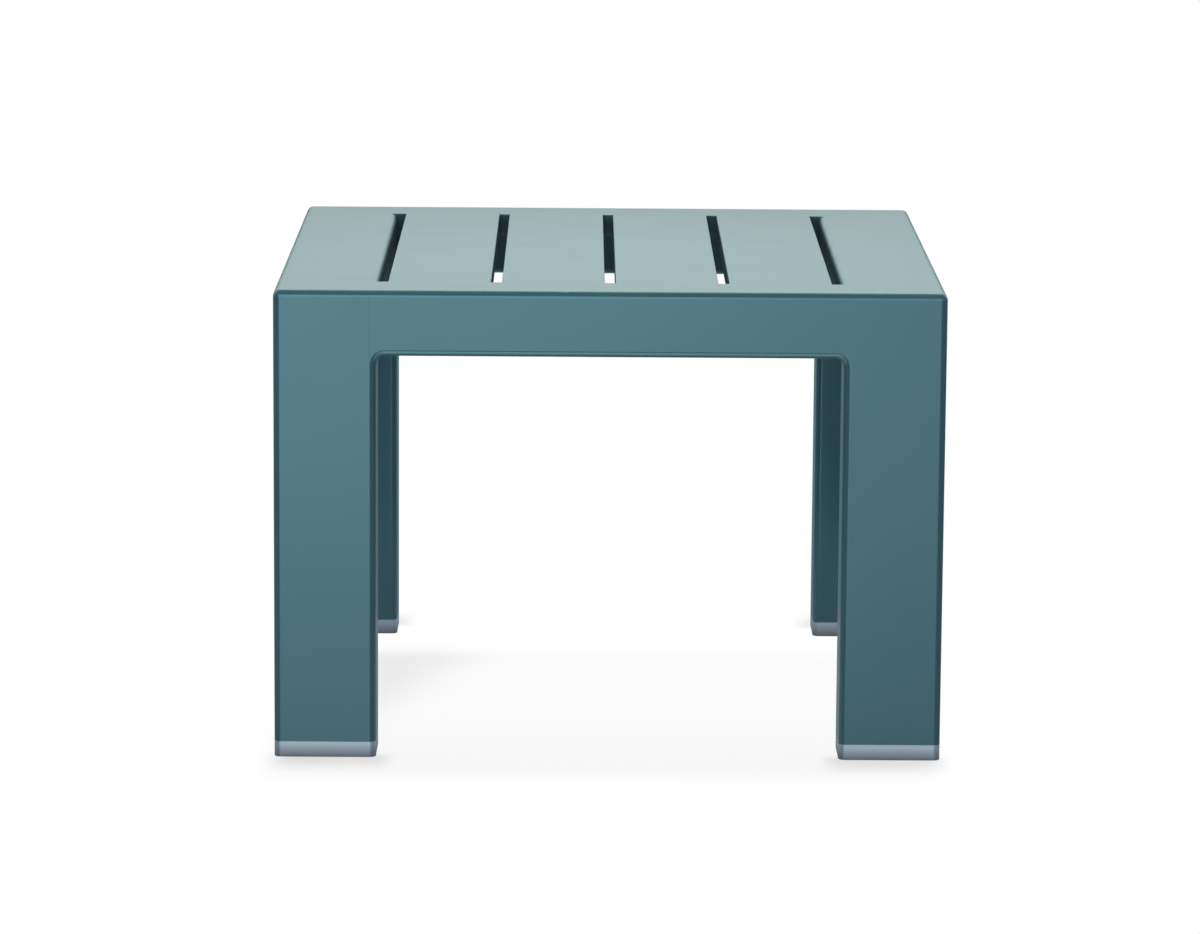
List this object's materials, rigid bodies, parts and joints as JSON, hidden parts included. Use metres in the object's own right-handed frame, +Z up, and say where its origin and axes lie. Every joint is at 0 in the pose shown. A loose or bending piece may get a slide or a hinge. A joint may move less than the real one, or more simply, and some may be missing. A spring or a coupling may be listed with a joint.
{
  "type": "patio side table",
  "caption": "Square low outdoor side table with a slatted top on a mitred, powder-coated aluminium tube frame with broad legs and metal-shod feet.",
  "frame": {"origin": "on the floor, under the centre of the table top", "axes": "+Z up; +X to the right of someone facing the front; +Y to the rear, along the slats"},
  "size_m": [0.61, 0.61, 0.432],
  "materials": {
    "powder_coat": "satin",
    "foot_metal": "satin",
    "glide_pad": "matte",
    "plug_nylon": "matte",
    "screw_steel": "satin"
  },
  "bodies": {
    "root": {"front_left_leg": "powder_coat", "front_right_leg": "powder_coat", "rear_left_leg": "powder_coat", "rear_right_leg": "powder_coat", "left_side_rail": "powder_coat", "right_side_rail": "powder_coat", "front_rail": "powder_coat", "rear_rail": "powder_coat", "slat_1": "powder_coat", "slat_2": "powder_coat", "slat_3": "powder_coat", "slat_4": "powder_coat", "slat_welds": "powder_coat", "front_left_foot": "foot_metal", "front_right_foot": "foot_metal", "rear_left_foot": "foot_metal", "rear_right_foot": "foot_metal", "front_left_foot_pad": "glide_pad", "front_right_foot_pad": "glide_pad", "rear_left_foot_pad": "glide_pad", "rear_right_foot_pad": "glide_pad", "front_left_leg_plug": "plug_nylon", "front_right_leg_plug": "plug_nylon", "rear_left_leg_plug": "plug_nylon", "rear_right_leg_plug": "plug_nylon", "foot_screws": "screw_steel"}
  },
  "joints": []
}
